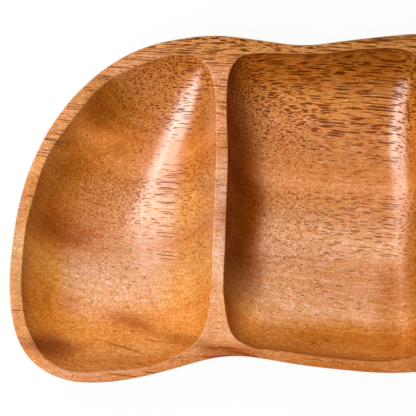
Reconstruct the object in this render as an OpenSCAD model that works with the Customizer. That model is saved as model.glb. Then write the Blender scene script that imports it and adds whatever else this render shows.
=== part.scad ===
// Divided serving bowl: a long free-form wooden tray with three hollowed compartments.
// Four staves are glued edge to edge along their length, and the tray is carved from that blank.
// X runs along the tray, Y from front to rear, and Z up from the table under the flat base.
// All sizes are in millimetres.

/* [Tray] */
// Length of the tray over its two ends
length = 370; // [330:1:420]
// Width of the tray over its widest places
width = 201.5; // [180:0.5:230]
// Height of the rim above the table
height = 35; // [30:0.5:45]
// Thickness of the wood under the compartments
floor_t = 9; // [7:0.5:12]
// How far the flat base lies inside the outline
base_inset = 16; // [10:0.5:22]

/* [Rim and dividers] */
// Width of the rim at the two ends
rim_w = 6.8; // [5:0.1:9]
// Width of a divider where it crosses the middle of the tray
divider_w = 6.8; // [5:0.1:9]
// Rounding of the rim's outer edge
outer_edge_r = 0.8; // [0.5:0.1:1.5]
// Rounding of the upper edge of each compartment
inner_edge_r = 0.7; // [0.5:0.1:1.5]

/* [Left compartment] */
// Length of the left compartment along the tray
left_l = 111.5; // [104:0.5:118]
// Distance of its rear edge from the rear of the tray
left_rear_gap = 12; // [9:0.5:16]
// Distance of its front edge from the front of the tray
left_front_gap = 5.8; // [5:0.1:10]

/* [Middle compartment] */
// Length of the middle compartment along the tray
middle_l = 118.2; // [110:0.2:125]
// Distance of its rear edge from the rear of the tray
middle_rear_gap = 8.4; // [7:0.1:12]
// Distance of its front edge from the front of the tray
middle_front_gap = 12.2; // [11:0.1:16]

/* [Right compartment] */
// Distance of its rear edge from the rear of the tray
right_rear_gap = 12; // [9:0.5:16]
// Distance of its front edge from the front of the tray
right_front_gap = 8.6; // [7:0.1:12]

/* [Staves] */
// Width of the front stave of the blank
front_stave_w = 69.5; // [60:0.5:75]
// Width of the stave behind it
front_middle_stave_w = 48; // [40:0.5:54]
// Width of the third stave, in front of the rear one
rear_middle_stave_w = 45; // [38:0.5:50]

/* [Hidden] */

// Cutting solids run past the wood by this much
overrun = 2;

// Steps of the curve between two points of an outline
outline_steps = 4;
pocket_steps = 3;
// Rounds of averaging that even out the bends of a curve
evening_rounds = 1;
// Steps up the outer side, down a compartment's wall and round an edge
side_steps = 8;
wall_steps = 9;
edge_steps = 3;

// Outline of the tray, clockwise from its left end and seen from above.
// Each point is a share of half the length and of half the width, from the middle of the tray.
outline_shares = [
    [-1, -0.44], [-0.991, -0.211], [-0.963, 0.075], [-0.918, 0.304], [-0.846, 0.533],
    [-0.764, 0.704], [-0.671, 0.837], [-0.577, 0.921], [-0.468, 0.969], [-0.353, 0.988],
    [-0.219, 0.962], [-0.084, 0.933], [0.046, 0.958], [0.171, 0.984], [0.302, 1],
    [0.455, 0.972], [0.61, 0.875], [0.745, 0.69], [0.858, 0.44], [0.95, 0.1],
    [1, -0.36], [0.975, -0.68], [0.89, -0.89], [0.755, -0.98], [0.6, -0.945],
    [0.463, -0.9], [0.385, -0.912], [0.3, -0.934], [0.177, -0.945], [0.046, -0.928],
    [-0.109, -0.894], [-0.212, -0.862], [-0.29, -0.848], [-0.374, -0.863], [-0.483, -0.918],
    [-0.608, -0.974], [-0.733, -1], [-0.826, -0.983], [-0.913, -0.904], [-0.966, -0.784],
    [-0.993, -0.61]
];

// Edge of the left compartment, clockwise from its left end and seen from above.
// Each point is a share of the compartment's length and width, from its front left corner.
left_edge_shares = [
    [0, 0.292], [0.008, 0.37], [0.026, 0.464], [0.074, 0.573], [0.136, 0.682],
    [0.256, 0.787], [0.334, 0.847], [0.434, 0.911], [0.564, 0.954], [0.717, 0.991],
    [0.835, 1], [0.921, 0.988], [0.964, 0.962], [0.992, 0.92], [1.006, 0.844],
    [1.01, 0.731], [1.004, 0.59], [0.992, 0.417], [0.987, 0.316], [0.97, 0.19],
    [0.944, 0.134], [0.895, 0.09], [0.809, 0.056], [0.692, 0.024], [0.564, 0.009],
    [0.431, 0.005], [0.305, 0], [0.202, 0.014], [0.109, 0.054], [0.056, 0.106],
    [0.021, 0.16], [0.005, 0.229]
];

// Edge of the middle compartment, in the same way
middle_edge_shares = [
    [0.008, 0.675], [0.005, 0.585], [0, 0.5], [-0.006, 0.372], [-0.014, 0.232],
    [-0.008, 0.187], [0.012, 0.115], [0.042, 0.076], [0.08, 0.059], [0.142, 0.042],
    [0.213, 0.038], [0.341, 0.027], [0.468, 0.015], [0.601, 0.006], [0.746, 0],
    [0.837, 0.006], [0.93, 0.02], [0.982, 0.05], [1.006, 0.1], [1.018, 0.19],
    [1.016, 0.34], [1.008, 0.5], [0.998, 0.66], [0.988, 0.8], [0.98, 0.885],
    [0.962, 0.945], [0.925, 0.976], [0.88, 0.993], [0.81, 1], [0.7, 0.998],
    [0.612, 0.994], [0.468, 0.982], [0.338, 0.982], [0.176, 0.985], [0.129, 0.982],
    [0.075, 0.975], [0.042, 0.955], [0.014, 0.92], [0.004, 0.87], [0.002, 0.783]
];

// Point of a compartment that its walls lean towards, as shares of its length and width
bowl_focus_share = [0.47, 0.37];
tray_focus_share = [0.5, 0.39];
// Size of a compartment's flat floor, as a share of its edge
bowl_floor_share = 0.06;
tray_floor_share = 0.58;
// Degrees that a compartment's wall turns through from its floor, where 90 leaves it upright at the rim
bowl_wall_turn = 60;
tray_wall_turn = 90;

// Where each compartment begins and ends
left_start = -length / 2 + rim_w;
middle_start = left_start + left_l + divider_w;
right_start = middle_start + middle_l + divider_w;
right_l = length / 2 - rim_w - right_start;

// Glue joints between the staves
front_joint = -width / 2 + front_stave_w;
middle_joint = front_joint + front_middle_stave_w;
rear_joint = middle_joint + rear_middle_stave_w;

// Wood colours, from the plain front of the blank to its darker rear
front_wood = [0.80, 0.50, 0.25];
front_middle_wood = [0.84, 0.56, 0.32];
rear_middle_wood = [0.75, 0.47, 0.24];
rear_wood = [0.64, 0.38, 0.18];

// Item i of a closed list
function item(list, i) = list[(i + len(list)) % len(list)];

// Length of the chord after point i
function chord(list, i) = norm(item(list, i + 1) - item(list, i));

// Direction of the curve at point i, where the shorter of the two chords counts more
function heading(list, i) =
    let (before = chord(list, i - 1), after = chord(list, i))
    ((item(list, i) - item(list, i - 1)) * after / before
        + (item(list, i + 1) - item(list, i)) * before / after) / (before + after);

// Point at the share t of the curve from p to q, which leaves along m and arrives along n
function on_curve(p, q, m, n, t) =
    p * (2 * t + 1) * pow(1 - t, 2) + m * t * pow(1 - t, 2)
    + q * (3 - 2 * t) * pow(t, 2) - n * (1 - t) * pow(t, 2);

// Closed smooth curve through a list of points
function curve(list, steps) = [
    for (i = [0 : len(list) - 1], k = [0 : steps - 1])
        let (reach = chord(list, i))
        on_curve(item(list, i), item(list, i + 1), heading(list, i) * reach,
            heading(list, i + 1) * reach, k / steps)
];

// The same curve with its bends evened out
function evened(list, rounds) = rounds == 0 ? list : evened([
    for (i = [0 : len(list) - 1])
        (item(list, i - 1) + 2 * item(list, i) + item(list, i + 1)) / 4
], rounds - 1);

// Edge of a compartment from its shares, its front left corner and its size
function edge_curve(shares, corner, size) = evened(curve([
    for (share = shares) [corner.x + share.x * size.x, corner.y + share.y * size.y]
], pocket_steps), evening_rounds);

// Shares of a compartment that is turned end for end
function mirrored(shares) = [for (i = [len(shares) - 1 : -1 : 0]) [1 - shares[i].x, shares[i].y]];

// Ring of points at one level: a curve drawn towards a point, at a height
function ring(points, focus, scales, z) = [
    for (p = points) [
        focus.x + (p.x - focus.x) * scales.x,
        focus.y + (p.y - focus.y) * scales.y,
        z
    ]
];

// Scales that move a curve inwards by a distance, or outwards where it is negative
function inset_scales(distance, size) = [1 - 2 * distance / size.x, 1 - 2 * distance / size.y];

// Closed solid through a list of rings, from the lowest to the highest
module loft(rings) {
    count = len(rings[0]);
    top = (len(rings) - 1) * count;
    polyhedron(
        points = [for (one_ring = rings) each one_ring],
        faces = concat(
            [[for (i = [count - 1 : -1 : 0]) i]],
            [[for (i = [0 : count - 1]) top + i]],
            [
                for (level = [0 : len(rings) - 2], i = [0 : count - 1])
                    let (a = level * count + i, b = level * count + (i + 1) % count)
                    each [[a, b, a + count], [b, b + count, a + count]]
            ]
        ),
        convexity = 8
    );
}

// Solid through a list of rings that bulge outwards all round, slice by slice
module convex_loft(rings) {
    for (level = [0 : len(rings) - 2])
        hull()
            loft([rings[level], rings[level + 1]]);
}

// The tray's outer form: flat base, rounded side, and a rounded outer edge on the rim
module blank() {
    size = [length, width];
    outline = evened(curve([
        for (share = outline_shares) [share.x * length / 2, share.y * width / 2]
    ], outline_steps), evening_rounds);
    side_h = height - outer_edge_r;
    side = [
        for (k = [0 : side_steps]) let (a = 90 * k / side_steps)
            [base_inset * (1 - sin(a)), side_h * (1 - cos(a))]
    ];
    edge = [
        for (k = [1 : edge_steps]) let (a = 90 * k / edge_steps)
            [outer_edge_r * (1 - cos(a)), side_h + outer_edge_r * sin(a)]
    ];
    loft([for (level = concat(side, edge)) ring(outline, [0, 0], inset_scales(level[0], size), level[1])]);
}

// One compartment: flat floor, hollow wall, and a rounded edge where it meets the rim
module pocket(shares, corner, size, focus_share, floor_share, wall_turn) {
    edge = edge_curve(shares, corner, size);
    focus = [corner.x + size.x * focus_share.x, corner.y + size.y * focus_share.y];
    lean = 90 - wall_turn;
    wall_h = height - inner_edge_r * (1 - sin(lean)) - floor_t;
    wall = [
        for (k = [0 : wall_steps])
            let (
                a = wall_turn * k / wall_steps,
                drawn = floor_share + (1 - floor_share) * sin(a) / sin(wall_turn)
            )
            ring(edge, focus, [drawn, drawn], floor_t + wall_h * (1 - cos(a)) / (1 - cos(wall_turn)))
    ];
    rounding = [
        for (k = [1 : edge_steps]) let (a = lean + wall_turn * k / edge_steps)
            ring(edge, focus, inset_scales(inner_edge_r * (cos(a) - cos(lean)), size),
                height - inner_edge_r * (1 - sin(a)))
    ];
    above = ring(edge, focus, inset_scales(-inner_edge_r * cos(lean), size), height + overrun);
    convex_loft(concat(wall, rounding, [above]));
}

// A pocket between its start and length along the tray and its gaps to the rear and the front
module placed_pocket(shares, start, span, rear_gap, front_gap, focus_share, floor_share, wall_turn) {
    pocket(shares, [start, -width / 2 + front_gap], [span, width - rear_gap - front_gap],
        focus_share, floor_share, wall_turn);
}

module pockets() {
    placed_pocket(left_edge_shares, left_start, left_l, left_rear_gap, left_front_gap,
        bowl_focus_share, bowl_floor_share, bowl_wall_turn);
    placed_pocket(middle_edge_shares, middle_start, middle_l, middle_rear_gap, middle_front_gap,
        tray_focus_share, tray_floor_share, tray_wall_turn);
    placed_pocket(mirrored(left_edge_shares), right_start, right_l, right_rear_gap, right_front_gap,
        [1 - bowl_focus_share.x, bowl_focus_share.y], bowl_floor_share, bowl_wall_turn);
}

// What one stave of the blank keeps of the carved tray, from its front face to its rear face
module stave(front, rear) {
    intersection() {
        difference() {
            blank();
            pockets();
        }
        translate([-length / 2 - overrun, front, -overrun])
            cube([length + 2 * overrun, rear - front, height + 2 * overrun]);
    }
}

module front_stave() {
    color(front_wood) stave(-width / 2 - overrun, front_joint);
}

module front_middle_stave() {
    color(front_middle_wood) stave(front_joint, middle_joint);
}

module rear_middle_stave() {
    color(rear_middle_wood) stave(middle_joint, rear_joint);
}

module rear_stave() {
    color(rear_wood) stave(rear_joint, width / 2 + overrun);
}

front_stave();
front_middle_stave();
rear_middle_stave();
rear_stave();
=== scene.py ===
"""Builds the looks of a divided serving bowl, carved from a blank of glued hardwood staves."""

import math

import bmesh
import bpy
from bpy.props import FloatProperty, FloatVectorProperty, PointerProperty
from mathutils import Matrix, Vector


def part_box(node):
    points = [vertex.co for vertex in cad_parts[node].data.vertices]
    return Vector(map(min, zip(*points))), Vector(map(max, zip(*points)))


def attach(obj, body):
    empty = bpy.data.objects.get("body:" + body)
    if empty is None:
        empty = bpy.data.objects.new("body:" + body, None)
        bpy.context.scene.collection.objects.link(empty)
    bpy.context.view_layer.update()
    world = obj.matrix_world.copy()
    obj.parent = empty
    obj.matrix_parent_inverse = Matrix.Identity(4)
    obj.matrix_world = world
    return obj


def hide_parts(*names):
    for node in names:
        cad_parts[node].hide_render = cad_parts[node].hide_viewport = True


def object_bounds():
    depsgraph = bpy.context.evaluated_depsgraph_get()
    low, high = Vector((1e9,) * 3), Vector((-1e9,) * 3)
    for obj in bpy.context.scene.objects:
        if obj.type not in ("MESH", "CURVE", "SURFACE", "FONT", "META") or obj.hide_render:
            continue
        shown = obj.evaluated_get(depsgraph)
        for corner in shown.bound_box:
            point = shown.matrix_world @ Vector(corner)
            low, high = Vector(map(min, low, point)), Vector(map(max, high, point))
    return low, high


bl_info = {
    "name": "Divided Serving Bowl",
    "version": (1, 0, 0),
    "blender": (4, 5, 0),
    "location": "3D View > Sidebar > Serving Bowl",
    "description": "Carves a divided wooden serving bowl from glued staves and sets a plain stage round it",
    "category": "Add Mesh",
}

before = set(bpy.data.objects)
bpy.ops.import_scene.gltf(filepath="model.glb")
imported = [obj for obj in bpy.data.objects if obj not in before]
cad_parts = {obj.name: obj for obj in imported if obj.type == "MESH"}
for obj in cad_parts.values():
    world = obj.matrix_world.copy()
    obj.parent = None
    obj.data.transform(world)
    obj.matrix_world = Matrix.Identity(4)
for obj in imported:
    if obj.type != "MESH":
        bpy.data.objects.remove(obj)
CAD_LOW, CAD_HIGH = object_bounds()
STAVES = ("front_stave", "front_middle_stave", "rear_middle_stave", "rear_stave")

# Outline of the tray, clockwise from its left end and seen from above.
# Each point is a share of half the length and of half the width, from the middle of the tray.
OUTLINE_SHARES = (
    (-1, -0.44), (-0.991, -0.211), (-0.963, 0.075), (-0.918, 0.304), (-0.846, 0.533),
    (-0.764, 0.704), (-0.671, 0.837), (-0.577, 0.921), (-0.468, 0.969), (-0.353, 0.988),
    (-0.219, 0.962), (-0.084, 0.933), (0.046, 0.958), (0.171, 0.984), (0.302, 1),
    (0.455, 0.972), (0.61, 0.875), (0.745, 0.69), (0.858, 0.44), (0.95, 0.1),
    (1, -0.36), (0.975, -0.68), (0.89, -0.89), (0.755, -0.98), (0.6, -0.945),
    (0.463, -0.9), (0.385, -0.912), (0.3, -0.934), (0.177, -0.945), (0.046, -0.928),
    (-0.109, -0.894), (-0.212, -0.862), (-0.29, -0.848), (-0.374, -0.863), (-0.483, -0.918),
    (-0.608, -0.974), (-0.733, -1), (-0.826, -0.983), (-0.913, -0.904), (-0.966, -0.784),
    (-0.993, -0.61),
)

# Edge of the left compartment, clockwise from its left end and seen from above.
# Each point is a share of the compartment's length and width, from its front left corner.
LEFT_EDGE_SHARES = (
    (0, 0.292), (0.008, 0.37), (0.026, 0.464), (0.074, 0.573), (0.136, 0.682),
    (0.256, 0.787), (0.334, 0.847), (0.434, 0.911), (0.564, 0.954), (0.717, 0.991),
    (0.835, 1), (0.921, 0.988), (0.964, 0.962), (0.992, 0.92), (1.006, 0.844),
    (1.01, 0.731), (1.004, 0.59), (0.992, 0.417), (0.987, 0.316), (0.97, 0.19),
    (0.944, 0.134), (0.895, 0.09), (0.809, 0.056), (0.692, 0.024), (0.564, 0.009),
    (0.431, 0.005), (0.305, 0), (0.202, 0.014), (0.109, 0.054), (0.056, 0.106),
    (0.021, 0.16), (0.005, 0.229),
)

# Edge of the middle compartment, in the same way
MIDDLE_EDGE_SHARES = (
    (0.008, 0.675), (0.005, 0.585), (0, 0.5), (-0.006, 0.372), (-0.014, 0.232),
    (-0.008, 0.187), (0.012, 0.115), (0.042, 0.076), (0.08, 0.059), (0.142, 0.042),
    (0.213, 0.038), (0.341, 0.027), (0.468, 0.015), (0.601, 0.006), (0.746, 0),
    (0.837, 0.006), (0.93, 0.02), (0.982, 0.05), (1.006, 0.1), (1.018, 0.19),
    (1.016, 0.34), (1.008, 0.5), (0.998, 0.66), (0.988, 0.8), (0.98, 0.885),
    (0.962, 0.945), (0.925, 0.976), (0.88, 0.993), (0.81, 1), (0.7, 0.998),
    (0.612, 0.994), (0.468, 0.982), (0.338, 0.982), (0.176, 0.985), (0.129, 0.982),
    (0.075, 0.975), (0.042, 0.955), (0.014, 0.92), (0.004, 0.87), (0.002, 0.783),
)

# How a compartment is carved: the place of its lowest point and the size of its floor, as shares of its own size,
# the angle through which its wall turns up, in degrees, and the dish of its floor, in metres
DISHED = ((0.47, 0.37), 0.06, 60, 0)
COVED = ((0.5, 0.39), 0.58, 90, 0.0008)

# Fineness of the mesh: steps between two points of an edge, rounds that even the edge out, steps round a worn
# edge, down the outer side and down a wall, rings on a floor, and the part of a ring left open at its middle
OUTLINE_STEPS = 12
POCKET_STEPS = 10
EVENING_ROUNDS = 8
EDGE_STEPS = 8
SIDE_STEPS = 28
WALL_STEPS = 36
FLOOR_RINGS = 12
OPEN_RING = 0.5

# Narrow flat strips, in metres, that lead from the rounded edges to the rim and from the side to the base
RIM_STRIP = 0.0004
BASE_STRIP = 0.001

# Cuts between the staves: a point nearer than this lies on the cut, and a plane this far out cuts nothing off
ON_CUT = 1e-7
BEYOND = 1

# Photograph: its width in pixels, the pixel of the frame's origin, the size of a pixel on the rim, and the middle
# of the view in the frame
PHOTO_SIZE = 416
ORIGIN_PIXEL = (330.15, 208.15)
PIXEL = 0.00057662
VIEW_X = (PHOTO_SIZE / 2 - ORIGIN_PIXEL[0]) * PIXEL
VIEW_Y = (ORIGIN_PIXEL[1] - PHOTO_SIZE / 2) * PIXEL

# Camera: its distance from the rim in metres, and the width of its sensor in millimetres
VIEW_DISTANCE = 1.4
SENSOR_WIDTH = 36

# Lamps: place, the point above the floor that each faces, size in metres, and power in watts. The air's light is
# a faint one from all round.
AIM_HEIGHT = 0.02
LAMPS = (
    ("left_softbox", (-0.74, -0.35, 1), (VIEW_X, -0.35), (0.75, 0.62), 7.2),
    ("left_sheet", (-0.76, -0.35, 1.02), (VIEW_X, -0.35), (1, 0.95), 6),
    ("near_softbox", (-0.36, -0.2, 1), (VIEW_X, -0.2), (0.36, 0.3), 2),
    ("rear_left_sheet", (-0.62, 0.75, 1), (VIEW_X, VIEW_Y), (1.2, 1.2), 5.2),
    ("rear_sheet", (VIEW_X, 0.55, 1.1), (VIEW_X, VIEW_Y), (1.2, 0.8), 3.2),
)
AIR_LIGHT = 0.04

# Paper under the bowl: half its width in metres, its roughness, and how bright it looks to the camera
PAPER_HALF = 3
PAPER_ROUGHNESS = 0.9
PAPER_GLOW = 0.94

# The numbers of the wood come next, with its places and heights in millimetres. A span gives the places where a
# change begins and ends, and then what it changes from and to, or else it runs from 0 to 1.
MILLIMETRES = 1000

# Noises, by how fast each changes along, across and up the bowl, and the lines' along it and across the rings.
# A start picks another part of the noise.
SLOW_NOISE = (0.012, 0.03, 0.03)
WAVE_NOISE = (0.05, 0.09, 0.09)
WAVE_START = (0, 0, 7)
FIBRE_NOISE = (0.08, 0.9, 0.9)
GRIT_NOISE = (0.8, 1.2, 1.2)
MOTTLE_NOISE = (0.3, 0.4, 0.4)
LINE_NOISE = (0.008, 0.35)
LINE_START = 3.0

# The grain drifts to the front and climbs to the right, steeply as far as a turn and gently from there, and the
# growth rings lean to the rear. All of them sway with the two slow noises.
DRIFT = 0.08
SLOW_SWAY = 2.0
WAVE_SWAY = 0.5
RING_LEAN = -1.1
RING_SWAY = 3.0
CLIMB_TURN = -8
STEEP_CLIMB = 0.38
SHALLOW_CLIMB = 0.11
CLIMB_BLEND = 3.0
CLIMB_BY_RING = (34.0, 54.0, -1.0, -0.35)
WAVE_LIFT = 0.4

# Colours of the wood, by the place across the rings, from the front of the blank to its rear
RING_COLOURS = (
    (-140, (200, 125, 66)),
    (-132, (194, 117, 58)),
    (-120, (213, 140, 80)),
    (-108, (223, 150, 88)),
    (-92, (225, 152, 92)),
    (-80, (230, 166, 112)),
    (-68, (229, 170, 122)),
    (-58, (219, 156, 108)),
    (-46, (208, 139, 90)),
    (-36, (221, 155, 106)),
    (-26, (226, 160, 108)),
    (-16, (212, 142, 88)),
    (-6, (211, 135, 72)),
    (4, (221, 143, 85)),
    (12, (210, 130, 66)),
    (22, (206, 129, 67)),
    (36, (211, 134, 74)),
    (48, (199, 125, 57)),
    (60, (179, 111, 43)),
    (72, (174, 108, 49)),
)

# Figure in the wood, and painted shade and light on some walls: middle and half size, turn in degrees, and what
# it makes of the colour. Each spot is full up to a share of its half size and gone at another, goes right through
# the bowl and wanders with the grain.
FIGURE_AND_PAINTED_SHADING = (
    ((-140, 25), (40, 40), 0, (0.9, 0.84, 0.62)),
    # Painted shade: this spot darkens and deepens the left compartment's left wall, which faces away from the lamps.
    ((-168, -30), (12, 60), 0, (1, 0.9, 0.5)),
    ((-128, 62), (14, 18), 40, (0.74, 0.66, 0.25)),
    ((-137, 54), (12, 9), 35, (0.78, 0.72, 0.3)),
    ((-134, 41), (16, 5), -15, (1.22, 1.38, 2)),
    ((-123, 35), (6, 4), -20, (0.82, 0.8, 0.6)),
    ((-150, 24), (8, 7), 10, (0.84, 0.76, 0.35)),
    ((-149, -17), (11, 6), 0, (0.8, 0.66, 0.45)),
    # Painted shade: these two spots darken the middle compartment's left wall, where the divider casts its shadow.
    ((-50, 5), (12, 54), 0, (0.46, 0.25, 0.01)),
    ((-49, -25), (9, 26), 0, (0.82, 0.66, 0.5)),
    ((52, -30), (6, 60), 0, (0.66, 0.5, 0.2)),
    ((10, -73), (50, 8), -3, (0.77, 0.6, 0.24)),
    # Painted light: this spot brightens the middle compartment's front left corner, where light falls past the
    # divider.
    ((-50, -63), (9, 11), 0, (1.35, 1.35, 1.1)),
    ((-5, 62), (45, 12), 0, (1.22, 1.3, 1.5)),
    ((10, -55), (70, 12), 0, (0.88, 0.8, 0.74)),
    ((-116, -66), (17, 6), -8, (0.84, 0.7, 0.5)),
    ((-115, -46), (45, 16), 0, (0.9, 0.84, 0.78)),
    ((-71, -10), (8, 95), 0, (0.88, 0.84, 0.8)),
    ((-166, 3), (15, 22), 0, (0.82, 0.68, 0.35)),
    ((-181, -35), (6, 42), 0, (0.68, 0.62, 0.42)),
    ((-157, 15), (16, 11), 20, (0.88, 0.86, 0.8)),
    ((-160, -10), (10, 7), 0, (0.8, 0.78, 0.6)),
    ((-164, -53), (2.5, 8), 0, (0.8, 0.78, 0.6)),
    ((-152, -56), (8, 5), -20, (0.92, 0.84, 0.95)),
    ((-71.5, 50), (5, 8), 0, (0.86, 0.82, 0.84)),
    ((-74, 12), (9, 7), 0, (0.86, 0.84, 0.86)),
    ((-115, -66), (15, 3), -22, (0.78, 0.7, 0.55)),
    ((-85, -76), (22, 3), -12, (0.74, 0.66, 0.5)),
    ((-56, -84), (18, 5), -4, (0.7, 0.5, 0.36)),
    ((-62, -81.5), (14, 0.8), -6, (0.55, 0.42, 0.36)),
    ((-50, -85), (12, 0.7), -10, (0.6, 0.45, 0.4)),
    ((-66, -85), (12, 0.6), -3, (0.65, 0.5, 0.45)),
    ((-162, -79), (17, 6), -8, (0.5, 0.4, 0.5)),
    ((-122, -81), (14, 0.8), -16, (0.6, 0.5, 0.4)),
    ((-160, 39), (7, 1.2), -8, (0.6, 0.55, 0.6)),
    ((-158, 36.5), (5, 0.7), -8, (0.6, 0.55, 0.6)),
    ((42, 97.4), (12, 0.6), 2, (0.5, 0.45, 0.5)),
    ((38, -58), (9, 26), 0, (0.78, 0.62, 0.35)),
    ((-105, 62), (40, 20), 0, (0.98, 1.06, 1.5)),
    ((-125, -88), (40, 8), 8, (1.1, 1.3, 2)),
    ((-146, -9), (26, 16), 0, (0.84, 0.68, 0.54)),
    ((-17, -29.9), (26, 0.6), -4, (0.8, 0.68, 0.62)),
)
SPOT_EDGE = (0.25, 1.5, 1.0, 0.0)
SPOT_DEPTH = 1000
SPOT_WANDER = (9, 3, 0)

# Heights at which a floor turns into a wall, and a wall into the rim, and at which the pale edge, partly wear and
# partly a painted highlight, begins and ends
WALL_FOOT = (11.0, 18.0)
RIM_EDGE = (34.2, 34.6)
RIM_LEVEL = 34.3
WEAR_AND_GLINT_FOOT = (34.3, 34.6)
WEAR_AND_GLINT_TOP = (34.9, 34.99, 1.0, 0.0)
WEAR_AND_GLINT_AMOUNT = 0.25

# The rim's paler wood and painted sheen, a paler and bluer tint standing in partly for the sheen of light on its
# top, at the front and elsewhere, and the place of the change, which slants across the bowl
FRONT_RIM_PALE_AND_SHEEN = (0.95, 0.95, 1.3)
RIM_PALE_AND_SHEEN = (1.17, 1.5, 3.6)
FRONT_RIM = (-92.0, -66.0)
FRONT_RIM_SLANT = -0.15

# How much each noise adds to the grain, and how strongly the grain changes red, green and blue
FIBRE_SHARE = 0.35
GRIT_SHARE = 0.5
MOTTLE_SHARE = 0.25
LINE_SHARE = 0.2
GRAIN_FORCES = (0.55, 1.4, 3.2)

# How crowded the pores are, by the place across the rings, and on the rim from the front to the rear
PORE_CROWDING = (
    (-140, 0.04), (-70, 0.06), (-62, 0.25), (-42, 0.3), (-36, 0.6), (-26, 0.65), (-22, 1), (-4, 0.95),
    (0, 0.08), (10, 0.1), (16, 0.6), (24, 1), (70, 1),
)
RIM_CROWDING = (0.0, 55.0, 0.08, 0.95)
COARSE_CROWDING = (20.0, 48.0)

# Pores: how close they lie, how wide the narrowest and the widest are, and how often each one breaks off
PORES = {"scale": 0.95, "narrow": 0.24, "wide": 0.42, "breaks": 0.12}
COARSE_PORES = {"scale": 0.7, "narrow": 0.3, "wide": 0.54, "breaks": 0.11}

# The coarse pores and each further stave start elsewhere in the pattern. The breaks are scattered, so that no two
# pores break off together, and a pore is open where its own noise has passed the break.
COARSE_START = 5.3
STAVE_SHIFT = 31.0
PORE_SCATTER = (60.0, 40.0)
PORE_BREAK = (-0.3, -0.1)

# The finest pores, by how fast their pattern changes along, across and up the grain, and how strong each kind is
FINE_PORES = (0.35, 1.6, 1.6)
FINE_PORE_EDGE = (0.12, 0.34, 1.0, 0.0)
PORE_DEPTH = 0.9
PORE_AMOUNT = 0.95
FINE_PORE_AMOUNT = 0.75

# On the rim the grain is cut nearly level, so most of its climb is taken out again, and its pores start elsewhere
RIM_CLIMB = 0.9
RIM_START = 60.0

# Film of oil: its strength over a pore, on the rim, and towards the front, where a slanting line ends it. Before
# and behind a band it is one strength in the left compartment and another right of it, and it is thinner on the
# left wall of the middle compartment.
FILM_ON_PORE = (0.1, 0.5, 1.0, 0.3)
FILM_ON_RIM = (33.5, 34.4, 1.0, 0.25)
FRONT_SLANT = -0.1
FILM_AT_FRONT = (-42.0, -18.0, 0.2, 1.0)
FILM_BAND = (36.0, 50.0)
FILM_BEFORE_BAND = (-70.0, -60.0, 0.7, 0.62)
FILM_BEHIND_BAND = (-70.0, -60.0, 1.0, 0.6)
THIN_WALL_START = (-66.0, -62.0)
THIN_WALL_END = (-50.0, -42.0, 1.0, 0.0)
THIN_WALL_LOSS = -0.7

# The carving left the floors a little uneven. Below the rim their front parts tip back, and right of the bowl's
# middle also to the left, and at the rear right a band of them leans forward.
BELOW_RIM = (28.0, 33.0, 1.0, 0.0)
TIP_BACK = (-25.0, 18.0, 0.09, 0.0)
TIP_WAVE = 4.0
TIP_TO_LEFT = (0.0, 30.0, 0.0, -0.8)
LEAN_START = (18.0, 40.0)
LEAN_END = (46.0, 60.0, 1.0, 0.0)
LEAN_RIGHT = (10.0, 30.0)
LEAN_FORWARD = -0.1

# Relief of the surface in metres, and what the pores, the finest pores and the fibre add to it
RELIEF = 0.0001
RELIEF_STRENGTH = 0.3
PORE_RELIEF = -0.3
FINE_PORE_RELIEF = -0.1
FIBRE_RELIEF = 0.5


def srgb(red, green, blue):
    """A colour as it is seen on a screen, from 0 to 255, as light"""
    return tuple(((c / 255 + 0.055) / 1.055) ** 2.4 if c > 10 else c / 255 / 12.92 for c in (red, green, blue))


def length_property(name, description, default):
    """A size in metres"""
    return FloatProperty(name=name, description=description, default=default, subtype="DISTANCE", unit="LENGTH",
                         precision=4)


def gaps_property(name, description, default):
    """Two sizes in metres"""
    return FloatVectorProperty(name=name, description=description, default=default, size=2, unit="LENGTH")


def colour_property(name, description, default):
    """A colour, as light"""
    return FloatVectorProperty(name=name, description=description, default=default, subtype="COLOR", min=0, max=1)


class BowlSizes(bpy.types.PropertyGroup):
    """Sizes of the bowl, the same as in the construction model"""
    length: length_property("Length", "Length over the two ends", CAD_HIGH.x - CAD_LOW.x)
    width: length_property("Width", "Width over the widest places", CAD_HIGH.y - CAD_LOW.y)
    height: length_property("Height", "Height of the rim above the table", CAD_HIGH.z - CAD_LOW.z)
    floor: length_property("Floor", "Thickness of the wood under the compartments", 0.009)
    base_inset: length_property("Base inset", "How far the flat base lies inside the outline", 0.016)
    rim: length_property("Rim", "Width of the rim at the two ends", 0.0068)
    divider: length_property("Divider", "Width of a divider at the middle of the tray", 0.0068)
    outer_edge: length_property("Outer edge", "Rounding of the rim's outer edge", 0.0008)
    inner_edge: length_property("Inner edge", "Rounding of each compartment's upper edge", 0.0007)
    left_length: length_property("Left length", "Length of the left compartment", 0.1115)
    middle_length: length_property("Middle length", "Length of the middle compartment", 0.1182)
    left_gaps: gaps_property("Left gaps", "From the left compartment to the tray's rear and front", (0.012, 0.0058))
    middle_gaps: gaps_property("Middle gaps", "From the middle compartment to the tray's rear and front",
                               (0.0084, 0.0122))
    right_gaps: gaps_property("Right gaps", "From the right compartment to the tray's rear and front",
                              (0.012, 0.0086))


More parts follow.
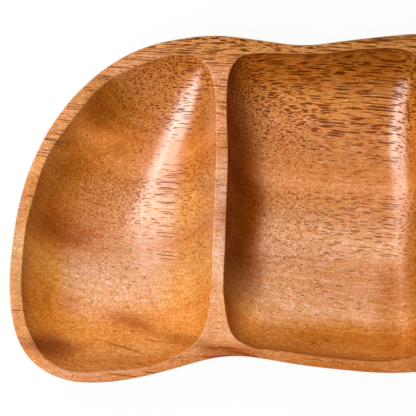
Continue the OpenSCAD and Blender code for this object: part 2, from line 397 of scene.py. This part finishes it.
class BowlFinish(bpy.types.PropertyGroup):
    """Colours and gloss of the oiled wood and of the paper under it"""
    # Partly painted shade: this tint darkens the walls and takes blue out of them, as shade does.
    wall_tint_and_shade: colour_property("Wall tint", "What the oil makes of the carved walls' colour", (0.95, 0.82, 0.45))
    pore_tint: colour_property("Pore tint", "What an open pore makes of the wood's colour", (0.25, 0.11, 0.05))
    fine_pore_tint: colour_property("Fine pore tint", "What the finest pores make of the wood's colour",
                                    (0.6, 0.45, 0.3))
    # Partly a painted highlight: this pale colour on the rounded edges stands in partly for the light they catch.
    wear_and_glint_colour: colour_property("Worn edge", "Colour of the wood on its worn edges", srgb(238, 178, 120))
    wood_roughness: FloatProperty(name="Wood roughness", description="Roughness of the wood under its oil",
                                  default=0.6, min=0, max=1, subtype="FACTOR")
    oil_roughness: FloatProperty(name="Oil roughness", description="Roughness of the film of oil",
                                 default=0.2, min=0, max=1, subtype="FACTOR")
    oil_index: FloatProperty(name="Oil index", description="Refractive index of the film of oil",
                             default=1.8, min=1, max=3)
    paper: colour_property("Paper", "Colour of the paper under the bowl", (0.9, 0.9, 0.9))


def smooth_ring(bm, places, steps):
    """Adds a closed smooth wire through the places, and returns its edges"""
    curve = bpy.data.curves.new("outline", "CURVE")
    curve.dimensions = "3D"
    curve.resolution_u = steps
    spline = curve.splines.new("BEZIER")
    spline.bezier_points.add(len(places) - 1)
    for knot, place in zip(spline.bezier_points, places):
        knot.co = place
        knot.handle_left_type = knot.handle_right_type = "AUTO"
    spline.use_cyclic_u = True
    holder = bpy.data.objects.new("outline", curve)
    bpy.context.scene.collection.objects.link(holder)
    drawn = holder.evaluated_get(bpy.context.evaluated_depsgraph_get())
    known = set(bm.edges)
    bm.from_mesh(drawn.to_mesh())
    drawn.to_mesh_clear()
    bpy.data.objects.remove(holder)
    bpy.data.curves.remove(curve)
    edges = [e for e in bm.edges if e not in known]
    verts = list({v for e in edges for v in e.verts})
    for _ in range(EVENING_ROUNDS):
        bmesh.ops.smooth_vert(bm, verts=verts, factor=0.5, use_axis_x=True, use_axis_y=True)
    return edges


def fit_ring(bm, edges, low, high):
    """Scales a ring so that it just fills a rectangle"""
    verts = list({v for e in edges for v in e.verts})
    old_low = Vector((min(v.co.x for v in verts), min(v.co.y for v in verts), 0))
    old_high = Vector((max(v.co.x for v in verts), max(v.co.y for v in verts), 0))
    size, old_size = high - low, old_high - old_low
    bmesh.ops.translate(bm, vec=-old_low, verts=verts)
    bmesh.ops.scale(bm, vec=(size.x / old_size.x, size.y / old_size.y, 1), verts=verts)
    bmesh.ops.translate(bm, vec=(low.x, low.y, 0), verts=verts)


def extruded(bm, edges):
    """Extrudes a closed ring, and returns the new ring's edges and vertices"""
    made = bmesh.ops.extrude_edge_only(bm, edges=edges)["geom"]
    verts = [g for g in made if isinstance(g, bmesh.types.BMVert)]
    fresh = set(verts)
    ring = [g for g in made if isinstance(g, bmesh.types.BMEdge) and fresh.issuperset(g.verts)]
    return ring, verts


def lofted(bm, edges, focus, levels):
    """Extrudes a ring through levels of (scale x, scale y, height), and returns the first and the last ring"""
    verts = list({v for e in edges for v in e.verts})
    previous = levels[0]
    around = Matrix.Translation(-focus)
    bmesh.ops.scale(bm, vec=(previous[0], previous[1], 1), space=around, verts=verts)
    bmesh.ops.translate(bm, vec=(0, 0, previous[2]), verts=verts)
    first = edges
    for level in levels[1:]:
        edges, verts = extruded(bm, edges)
        ratio = (level[0] / previous[0], level[1] / previous[1], 1)
        bmesh.ops.scale(bm, vec=ratio, space=around, verts=verts)
        bmesh.ops.translate(bm, vec=(0, 0, level[2] - previous[2]), verts=verts)
        previous = level
    return first, edges


def inset(distance, size):
    """Scales that move a ring inwards by a distance"""
    return 1 - 2 * distance / size.x, 1 - 2 * distance / size.y


def quarter(steps):
    """Angles from 0 to 90 degrees"""
    return [math.pi / 2 * k / steps for k in range(steps + 1)]


def outer_levels(sizes):
    """Levels of the outer form, from the flat of the rim over its edge and down the side to the base"""
    size = Vector((sizes.length, sizes.width))
    edge = sizes.outer_edge
    side = sizes.height - edge
    levels = [(*inset(edge + RIM_STRIP, size), sizes.height)]
    for a in reversed(quarter(EDGE_STEPS)):
        levels.append((*inset(edge * (1 - math.cos(a)), size), side + edge * math.sin(a)))
    for a in reversed(quarter(SIDE_STEPS)[:-1]):
        levels.append((*inset(sizes.base_inset * (1 - math.sin(a)), size), side * (1 - math.cos(a))))
    levels.append((*inset(sizes.base_inset + BASE_STRIP, size), 0))
    return levels


def pocket_levels(sizes, size, floor_share, turn, dish):
    """Levels of a compartment, from the flat of the rim over its edge and down the wall to the floor's middle"""
    turn = math.radians(turn)
    lean = math.pi / 2 - turn
    edge = sizes.inner_edge
    top = sizes.height - edge * (1 - math.sin(lean))
    depth = top - sizes.floor
    levels = [(*inset(-edge * math.cos(lean) - RIM_STRIP, size), sizes.height)]
    for a in reversed(quarter(EDGE_STEPS)):
        a = lean + turn * a / (math.pi / 2)
        levels.append((*inset(edge * (math.cos(a) - math.cos(lean)), size), sizes.height - edge * (1 - math.sin(a))))
    for a in reversed(quarter(WALL_STEPS)[:-1]):
        a = turn * a / (math.pi / 2)
        share = floor_share + (1 - floor_share) * math.sin(a) / math.sin(turn)
        rise = (depth - dish) * (1 - math.cos(a)) / (1 - math.cos(turn)) + dish * share ** 2
        levels.append((share, share, sizes.floor + rise))
    for k in range(1, FLOOR_RINGS + 1):
        share = floor_share * (1 - k / (FLOOR_RINGS + OPEN_RING))
        levels.append((share, share, sizes.floor + dish * share ** 2))
    return levels


def carved_pocket(bm, sizes, shares, form, start, length, gaps):
    """Carves one compartment, and returns its ring on the rim"""
    (focus_x, focus_y), floor_share, turn, dish = form
    rear_gap, front_gap = gaps
    corner = Vector((start, -sizes.width / 2 + front_gap, 0))
    size = Vector((length, sizes.width - rear_gap - front_gap, 0))
    places = [(corner.x + x * size.x, corner.y + y * size.y, 0) for x, y in shares]
    edge = smooth_ring(bm, places, POCKET_STEPS)
    focus = Vector((corner.x + size.x * focus_x, corner.y + size.y * focus_y, 0))
    top, floor = lofted(bm, edge, focus, pocket_levels(sizes, size, floor_share, turn, dish))
    bmesh.ops.edgeloop_fill(bm, edges=floor)
    return top


def mirrored(shares, form):
    """The mirror image of a compartment, for the other end of the tray"""
    (focus_x, focus_y), *rest = form
    return [(1 - x, y) for x, y in reversed(shares)], ((1 - focus_x, focus_y), *rest)


def carved_bowl(sizes):
    """The whole bowl as one closed mesh"""
    bm = bmesh.new()
    half = Vector((sizes.length / 2, sizes.width / 2, 0))
    centre = (CAD_LOW + CAD_HIGH) / 2
    middle = Vector((centre.x, centre.y, 0))
    outline = smooth_ring(bm, [(x * half.x, y * half.y, 0) for x, y in OUTLINE_SHARES], OUTLINE_STEPS)
    fit_ring(bm, outline, middle - half, middle + half)
    rim, base = lofted(bm, outline, middle, outer_levels(sizes))
    bmesh.ops.triangle_fill(bm, use_beauty=True, use_dissolve=False, edges=base, normal=(0, 0, -1))
    left = -sizes.length / 2 + sizes.rim
    middle_start = left + sizes.left_length + sizes.divider
    right = middle_start + sizes.middle_length + sizes.divider
    right_length = sizes.length / 2 - sizes.rim - right
    compartments = (
        (LEFT_EDGE_SHARES, DISHED, left, sizes.left_length, sizes.left_gaps),
        (MIDDLE_EDGE_SHARES, COVED, middle_start, sizes.middle_length, sizes.middle_gaps),
        (*mirrored(LEFT_EDGE_SHARES, DISHED), right, right_length, sizes.right_gaps),
    )
    rims = list(rim)
    for compartment in compartments:
        rims += carved_pocket(bm, sizes, *compartment)
    bmesh.ops.triangle_fill(bm, use_beauty=True, use_dissolve=False, edges=rims, normal=(0, 0, 1))
    bmesh.ops.recalc_face_normals(bm, faces=bm.faces)
    for face in bm.faces:
        face.smooth = True
    return bm


def cut_stave(bowl, front, rear):
    """A copy of the bowl between two upright planes, closed with flat faces"""
    bm = bowl.copy()
    for y, towards in ((front, -1), (rear, 1)):
        whole = bm.verts[:] + bm.edges[:] + bm.faces[:]
        cut = bmesh.ops.bisect_plane(bm, geom=whole, dist=ON_CUT, plane_co=(0, y, 0), plane_no=(0, towards, 0),
                                     clear_outer=True)["geom_cut"]
        edges = [g for g in cut if isinstance(g, bmesh.types.BMEdge)]
        if edges:
            bmesh.ops.triangle_fill(bm, use_beauty=True, use_dissolve=False, edges=edges, normal=(0, towards, 0))
            for edge in edges:
                edge.smooth = False
    return bm


class BOWL_OT_staves(bpy.types.Operator):
    """Carve the bowl and part it into its glued staves"""
    bl_idname = "mesh.serving_bowl_staves"
    bl_label = "Carve Staves"
    bl_options = {"REGISTER", "UNDO"}

    def execute(self, context):
        scene = context.scene
        bowl = carved_bowl(scene.bowl_sizes)
        for number, name in enumerate(STAVES):
            low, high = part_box(name)
            front = low.y if name != STAVES[0] else -BEYOND
            rear = high.y if name != STAVES[-1] else BEYOND
            bm = cut_stave(bowl, front, rear)
            mesh = bpy.data.meshes.new("carved_" + name)
            bm.to_mesh(mesh)
            bm.free()
            piece = bpy.data.objects.new("carved_" + name, mesh)
            scene.collection.objects.link(piece)
            mesh.materials.append(wood_material("wood_of_" + name, scene.bowl_finish, number * STAVE_SHIFT))
            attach(piece, "root")
            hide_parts(name)
        bowl.free()
        return {"FINISHED"}


class Weave:
    """Adds shader nodes to a material and wires them as sums"""

    def __init__(self, tree):
        self.tree = tree

    def add(self, kind, **settings):
        """A new node"""
        node = self.tree.nodes.new(kind)
        for key, value in settings.items():
            setattr(node, key, value)
        return node

    def feed(self, socket, value):
        """Links another node's output to a socket, or sets the socket to a value"""
        if isinstance(value, bpy.types.NodeSocket):
            self.tree.links.new(value, socket)
        else:
            socket.default_value = value

    def sum(self, operation, *values):
        """One step of arithmetic"""
        node = self.add("ShaderNodeMath", operation=operation)
        for socket, value in zip(node.inputs, values):
            self.feed(socket, value)
        return node.outputs[0]

    def plus(self, *values):
        total = values[0]
        for value in values[1:]:
            total = self.sum("ADD", total, value)
        return total

    def times(self, *values):
        total = values[0]
        for value in values[1:]:
            total = self.sum("MULTIPLY", total, value)
        return total

    def span(self, value, low, high, to_low=0.0, to_high=1.0, smooth=True):
        """Runs from to_low to to_high while the value runs from low to high, and stays there outside"""
        node = self.add("ShaderNodeMapRange", interpolation_type="SMOOTHSTEP" if smooth else "LINEAR")
        for socket, number in zip(node.inputs, (value, low, high, to_low, to_high)):
            self.feed(socket, number)
        return node.outputs[0]

    def point(self, x, y, z=0.0):
        node = self.add("ShaderNodeCombineXYZ")
        for socket, value in zip(node.inputs, (x, y, z)):
            self.feed(socket, value)
        return node.outputs[0]

    def stretched(self, place, rates):
        """A place whose three coordinates are each times a rate"""
        return self.point(*[self.times(value, rate) for value, rate in zip(place, rates)])

    def vector(self, operation, first, second=None):
        """One step of arithmetic with vectors"""
        node = self.add("ShaderNodeVectorMath", operation=operation)
        self.feed(node.inputs[0], first)
        if second is not None:
            self.feed(node.inputs[1], second)
        return node.outputs["Value" if operation == "LENGTH" else "Vector"]

    def noise(self, place, detail=2.0):
        """Soft noise from -1 to 1"""
        node = self.add("ShaderNodeTexNoise")
        for name, value in (("Vector", place), ("Scale", 1), ("Detail", detail), ("Roughness", 0.5)):
            self.feed(node.inputs[name], value)
        return self.sum("MULTIPLY_ADD", node.outputs["Fac"], 2.0, -1.0)

    def ramp(self, value, stops):
        """A colour that changes with the value, through stops of (place, colour)"""
        node = self.add("ShaderNodeValToRGB")
        low, high = stops[0][0], stops[-1][0]
        points = node.color_ramp.elements
        while len(points) < len(stops):
            points.new(1)
        for element, (place, colour) in zip(points, stops):
            element.position = (place - low) / (high - low)
            element.color = (*colour, 1)
        self.feed(node.inputs[0], self.span(value, low, high, smooth=False))
        return node.outputs["Color"]

    def blend(self, amount, first, second, kind="MIX"):
        """Goes from the first colour to the second with the amount"""
        node = self.add("ShaderNodeMix", data_type="RGBA", blend_type=kind)
        self.feed(node.inputs["Factor"], amount)
        for socket, colour in ((node.inputs[6], first), (node.inputs[7], second)):
            self.feed(socket, (*colour, 1) if isinstance(colour, tuple) else colour)
        return node.outputs[2]

    def tinted(self, amount, colour, tint):
        """A colour, blended by the amount into its product with a tint"""
        return self.blend(amount, colour, self.blend(1.0, colour, tint, "MULTIPLY"))

    def pores(self, x, across, up, crowd, scale, narrow, wide, breaks):
        """Tubes along the grain: 1 inside an open pore and 0 in the wood between them"""
        cells = self.add("ShaderNodeTexVoronoi", voronoi_dimensions="2D")
        self.feed(cells.inputs["Vector"], self.point(across, up))
        self.feed(cells.inputs["Scale"], scale)
        random = self.add("ShaderNodeSeparateColor")
        self.feed(random.inputs[0], cells.outputs["Color"])
        chance, start, depth = random.outputs
        along = self.plus(self.times(x, breaks), self.times(start, PORE_SCATTER[0]))
        broken = self.noise(self.point(along, self.times(depth, PORE_SCATTER[1])), detail=0.0)
        present = self.times(self.sum("LESS_THAN", chance, crowd), self.span(broken, *PORE_BREAK))
        width = self.span(depth, 0.0, 1.0, narrow, wide, smooth=False)
        inside = self.span(cells.outputs["Distance"], self.times(width, 0.5), width, 1.0, 0.0)
        return self.times(inside, present)


def grain_place(w, x, y, z):
    """Two slow noises, the climb of the grain, and the places across it, across the rings and up it"""
    slow = w.noise(w.stretched((x, y, z), SLOW_NOISE), detail=1.0)
    wave = w.noise(w.vector("ADD", w.stretched((x, y, z), WAVE_NOISE), WAVE_START), detail=1.0)
    reach = w.plus(x, -CLIMB_TURN)
    climb = w.sum("SMOOTH_MIN", w.times(reach, STEEP_CLIMB), w.times(reach, SHALLOW_CLIMB), CLIMB_BLEND)
    across = w.plus(y, w.times(x, DRIFT), w.times(slow, SLOW_SWAY), w.times(wave, WAVE_SWAY))
    ring = w.plus(across, w.times(z, RING_LEAN), w.times(slow, RING_SWAY))
    up = w.plus(z, w.times(climb, w.span(ring, *CLIMB_BY_RING)), w.times(wave, WAVE_LIFT))
    return slow, wave, climb, across, ring, up


def figure_and_painted_shading(w, colour, place, slow, wave):
    """The wood's colour with its lighter and darker figure, and painted shade and light on some walls"""
    wander = w.add("ShaderNodeVectorMath", operation="MULTIPLY_ADD")
    for socket, value in zip(wander.inputs, (w.point(slow, wave), SPOT_WANDER, place)):
        w.feed(socket, value)
    for middle, size, turn, change in FIGURE_AND_PAINTED_SHADING:
        spot = w.add("ShaderNodeMapping", vector_type="TEXTURE")
        w.feed(spot.inputs["Vector"], wander.outputs[0])
        w.feed(spot.inputs["Location"], (*middle, 0))
        w.feed(spot.inputs["Rotation"], (0, 0, math.radians(turn)))
        w.feed(spot.inputs["Scale"], (*size, SPOT_DEPTH))
        away = w.vector("LENGTH", spot.outputs[0])
        colour = w.tinted(w.span(away, *SPOT_EDGE), colour, change)
    return colour


def oiled(w, colour, x, y, z, finish):
    """The carved walls are darker and deeper in colour than the floors, partly the oil they took up and partly
    painted shade, and the rim and the dividers are paler, partly their wood and partly a painted sheen
    """
    # Painted shade in part: the walls are darkened and their blue taken out below the rim.
    colour = w.tinted(w.span(z, *WALL_FOOT), colour, tuple(finish.wall_tint_and_shade))
    slanted = w.plus(y, w.times(x, FRONT_RIM_SLANT))
    # Painted sheen in part: the rim's top is made paler and bluer, as the sheen of light on it would.
    pale_and_sheen = w.blend(w.span(slanted, *FRONT_RIM), FRONT_RIM_PALE_AND_SHEEN, RIM_PALE_AND_SHEEN)
    return w.tinted(w.span(z, *RIM_EDGE), colour, pale_and_sheen)


def grained(w, colour, place, across, ring, up):
    """Fine grain, which changes the blue most and the red least, and its fibre"""
    fibre = w.noise(w.stretched((place[0], across, up), FIBRE_NOISE), detail=3.0)
    grit = w.noise(w.stretched(place, GRIT_NOISE), detail=1.0)
    mottle = w.noise(w.stretched(place, MOTTLE_NOISE))
    lines = w.noise(w.point(w.times(place[0], LINE_NOISE[0]), w.times(ring, LINE_NOISE[1]), LINE_START))
    grain = w.plus(w.times(fibre, FIBRE_SHARE), w.times(grit, GRIT_SHARE), w.times(mottle, MOTTLE_SHARE),
                   w.times(lines, LINE_SHARE))
    change = w.point(*[w.sum("EXPONENT", w.times(grain, force)) for force in GRAIN_FORCES])
    return w.tinted(1.0, colour, change), fibre


def open_pores(w, x, y, z, climb, across, ring, up, shift):
    """Tubes along the grain, which show as dots on slopes and as dashes on flat wood, and the finest pores"""
    rim = w.sum("GREATER_THAN", z, RIM_LEVEL)
    up = w.plus(up, w.times(rim, w.plus(w.times(climb, RIM_CLIMB), RIM_START)))
    crowd = w.ramp(ring, [(place, (amount,) * 3) for place, amount in PORE_CROWDING])
    inside = w.sum("SUBTRACT", 1.0, rim)
    crowd = w.plus(w.times(crowd, inside), w.times(rim, w.span(y, *RIM_CROWDING)))
    pores = w.pores(x, across, w.plus(up, shift), crowd, **PORES)
    coarse = w.pores(x, across, w.plus(up, shift + COARSE_START), w.span(ring, *COARSE_CROWDING), **COARSE_PORES)
    cells = w.add("ShaderNodeTexVoronoi", voronoi_dimensions="3D")
    w.feed(cells.inputs["Vector"], w.stretched((x, across, up), FINE_PORES))
    w.feed(cells.inputs["Scale"], 1)
    fine = w.span(cells.outputs["Distance"], *FINE_PORE_EDGE)
    return w.sum("MAXIMUM", w.times(pores, PORE_DEPTH), coarse), fine


def film_of_oil(w, x, y, z, pore, below):
    """Strength of the film, which the pores break"""
    front = w.span(w.plus(y, w.times(x, FRONT_SLANT)), *FILM_AT_FRONT)
    rear = w.span(y, *FILM_BAND, w.span(x, *FILM_BEFORE_BAND), w.span(x, *FILM_BEHIND_BAND))
    thin_wall = w.times(w.span(x, *THIN_WALL_START), w.span(x, *THIN_WALL_END), below)
    thinner = w.plus(1.0, w.times(thin_wall, THIN_WALL_LOSS))
    return w.times(w.span(pore, *FILM_ON_PORE), w.span(z, *FILM_ON_RIM), front, rear, thinner)


def facing(w, x, y, wave, below):
    """The way the surface faces, with the small unevenness that the gouge left in the floors"""
    slanted = w.plus(y, w.times(x, FRONT_SLANT), w.times(wave, TIP_WAVE))
    tip = w.times(w.span(slanted, *TIP_BACK), below)
    lean = w.times(w.span(y, *LEAN_START), w.span(y, *LEAN_END), w.span(x, *LEAN_RIGHT), below, LEAN_FORWARD)
    turned = w.add("ShaderNodeVectorTransform", vector_type="VECTOR", convert_from="OBJECT", convert_to="WORLD")
    w.feed(turned.inputs[0], w.point(w.times(tip, w.span(x, *TIP_TO_LEFT)), w.plus(tip, lean)))
    geometry = w.add("ShaderNodeNewGeometry")
    return w.vector("NORMALIZE", w.vector("ADD", geometry.outputs["Normal"], turned.outputs[0]))


def wood_material(name, finish, shift):
    """Oiled hardwood with slanting growth rings, long pores, darker figure, painted shade and light on some walls, a
    painted sheen on the rim and edges that are partly worn and partly a painted highlight
    """
    material = bpy.data.materials.new(name)
    material.use_nodes = True
    w = Weave(material.node_tree)
    coords = w.add("ShaderNodeTexCoord")
    place = w.vector("MULTIPLY", coords.outputs["Object"], (MILLIMETRES,) * 3)
    parts = w.add("ShaderNodeSeparateXYZ")
    w.feed(parts.inputs[0], place)
    x, y, z = parts.outputs
    slow, wave, climb, across, ring, up = grain_place(w, x, y, z)

    colour = w.ramp(ring, [(across_rings, srgb(*rgb)) for across_rings, rgb in RING_COLOURS])
    colour = figure_and_painted_shading(w, colour, place, slow, wave)
    colour = oiled(w, colour, x, y, z, finish)
    colour, fibre = grained(w, colour, (x, y, z), across, ring, up)
    pore, fine_pore = open_pores(w, x, y, z, climb, across, ring, up, shift)
    colour = w.tinted(w.times(fine_pore, FINE_PORE_AMOUNT), colour, tuple(finish.fine_pore_tint))
    colour = w.tinted(w.times(pore, PORE_AMOUNT), colour, tuple(finish.pore_tint))
    # Pale rounded edges, partly wear and partly a painted highlight.
    wear_and_glint = w.times(w.span(z, *WEAR_AND_GLINT_FOOT), w.span(z, *WEAR_AND_GLINT_TOP), WEAR_AND_GLINT_AMOUNT)
    colour = w.blend(wear_and_glint, colour, tuple(finish.wear_and_glint_colour))

    below = w.span(z, *BELOW_RIM)
    bump = w.add("ShaderNodeBump")
    w.feed(bump.inputs["Strength"], RELIEF_STRENGTH)
    w.feed(bump.inputs["Distance"], RELIEF)
    relief = w.plus(w.times(pore, PORE_RELIEF), w.times(fine_pore, FINE_PORE_RELIEF), w.times(fibre, FIBRE_RELIEF))
    w.feed(bump.inputs["Height"], relief)
    w.feed(bump.inputs["Normal"], facing(w, x, y, wave, below))

    shader = w.tree.nodes["Principled BSDF"]
    for socket, value in (
        ("Base Color", colour),
        ("Roughness", finish.wood_roughness),
        ("Specular IOR Level", 0),
        ("Normal", bump.outputs[0]),
        ("Coat Weight", film_of_oil(w, x, y, z, pore, below)),
        ("Coat Roughness", finish.oil_roughness),
        ("Coat IOR", finish.oil_index),
        ("Coat Normal", bump.outputs[0]),
    ):
        w.feed(shader.inputs[socket], value)
    return material


def paper_material(finish):
    """Plain paper that takes the bowl's shadow and looks pale to the camera"""
    material = bpy.data.materials.new("studio_paper")
    material.use_nodes = True
    w = Weave(material.node_tree)
    shader = w.tree.nodes["Principled BSDF"]
    w.feed(shader.inputs["Base Color"], (*finish.paper, 1))
    w.feed(shader.inputs["Roughness"], PAPER_ROUGHNESS)
    glow = w.add("ShaderNodeEmission")
    rays = w.add("ShaderNodeLightPath")
    seen = w.sum("MAXIMUM", rays.outputs["Is Camera Ray"], rays.outputs["Is Glossy Ray"])
    seen = w.sum("MAXIMUM", seen, rays.outputs["Is Transmission Ray"])
    both = w.add("ShaderNodeMixShader")
    for socket, value in zip(both.inputs, (w.times(seen, PAPER_GLOW), shader.outputs[0], glow.outputs[0])):
        w.feed(socket, value)
    w.feed(w.tree.nodes["Material Output"].inputs["Surface"], both.outputs[0])
    return material


def softbox(context, name, place, target, size, power):
    """Hangs a rectangular lamp that faces a point above the floor"""
    data = bpy.data.lights.new(name, "AREA")
    data.shape = "RECTANGLE"
    data.size, data.size_y = size
    data.energy = power
    lamp = bpy.data.objects.new(name, data)
    context.scene.collection.objects.link(lamp)
    lamp.location = place
    towards = Vector((*target, AIM_HEIGHT)) - lamp.location
    lamp.rotation_euler = towards.to_track_quat("-Z", "Y").to_euler()


class BOWL_OT_stage(bpy.types.Operator):
    """Set up the floor, the lamps and the camera"""
    bl_idname = "scene.serving_bowl_stage"
    bl_label = "Set Stage"
    bl_options = {"REGISTER", "UNDO"}

    def execute(self, context):
        scene = context.scene
        scene.view_settings.view_transform = "Standard"
        bm = bmesh.new()
        bmesh.ops.create_grid(bm, x_segments=1, y_segments=1, size=PAPER_HALF)
        mesh = bpy.data.meshes.new("studio_floor")
        bm.to_mesh(mesh)
        bm.free()
        mesh.materials.append(paper_material(scene.bowl_finish))
        floor = bpy.data.objects.new("studio_floor", mesh)
        scene.collection.objects.link(floor)
        data = bpy.data.cameras.new("camera")
        data.sensor_fit = "HORIZONTAL"
        data.sensor_width = SENSOR_WIDTH
        data.lens = SENSOR_WIDTH * VIEW_DISTANCE / (PHOTO_SIZE * PIXEL)
        camera = bpy.data.objects.new("camera", data)
        scene.collection.objects.link(camera)
        camera.location = (VIEW_X, VIEW_Y, CAD_HIGH.z + VIEW_DISTANCE)
        scene.camera = camera
        for lamp in LAMPS:
            softbox(context, *lamp)
        world = bpy.data.worlds.new("studio_air")
        scene.world = world
        world.use_nodes = True
        air = world.node_tree.nodes["Background"]
        air.inputs["Color"].default_value = (1, 1, 1, 1)
        air.inputs["Strength"].default_value = AIR_LIGHT
        return {"FINISHED"}


class BOWL_PT_panel(bpy.types.Panel):
    """Steps that build the serving bowl, and its sizes and finish"""
    bl_idname = "BOWL_PT_panel"
    bl_label = "Serving Bowl"
    bl_space_type = "VIEW_3D"
    bl_region_type = "UI"
    bl_category = "Serving Bowl"

    def draw(self, context):
        for operator in (BOWL_OT_stage, BOWL_OT_staves):
            self.layout.operator(operator.bl_idname)
        for group in (context.scene.bowl_sizes, context.scene.bowl_finish):
            for name in type(group).__annotations__:
                self.layout.prop(group, name)


CLASSES = (BowlSizes, BowlFinish, BOWL_OT_staves, BOWL_OT_stage, BOWL_PT_panel)


def register():
    for cls in CLASSES:
        bpy.utils.register_class(cls)
    bpy.types.Scene.bowl_sizes = PointerProperty(type=BowlSizes)
    bpy.types.Scene.bowl_finish = PointerProperty(type=BowlFinish)


def unregister():
    del bpy.types.Scene.bowl_finish
    del bpy.types.Scene.bowl_sizes
    for cls in reversed(CLASSES):
        bpy.utils.unregister_class(cls)


def main():
    register()
    bpy.ops.scene.serving_bowl_stage()
    bpy.ops.mesh.serving_bowl_staves()


if __name__ == "__main__":
    main()
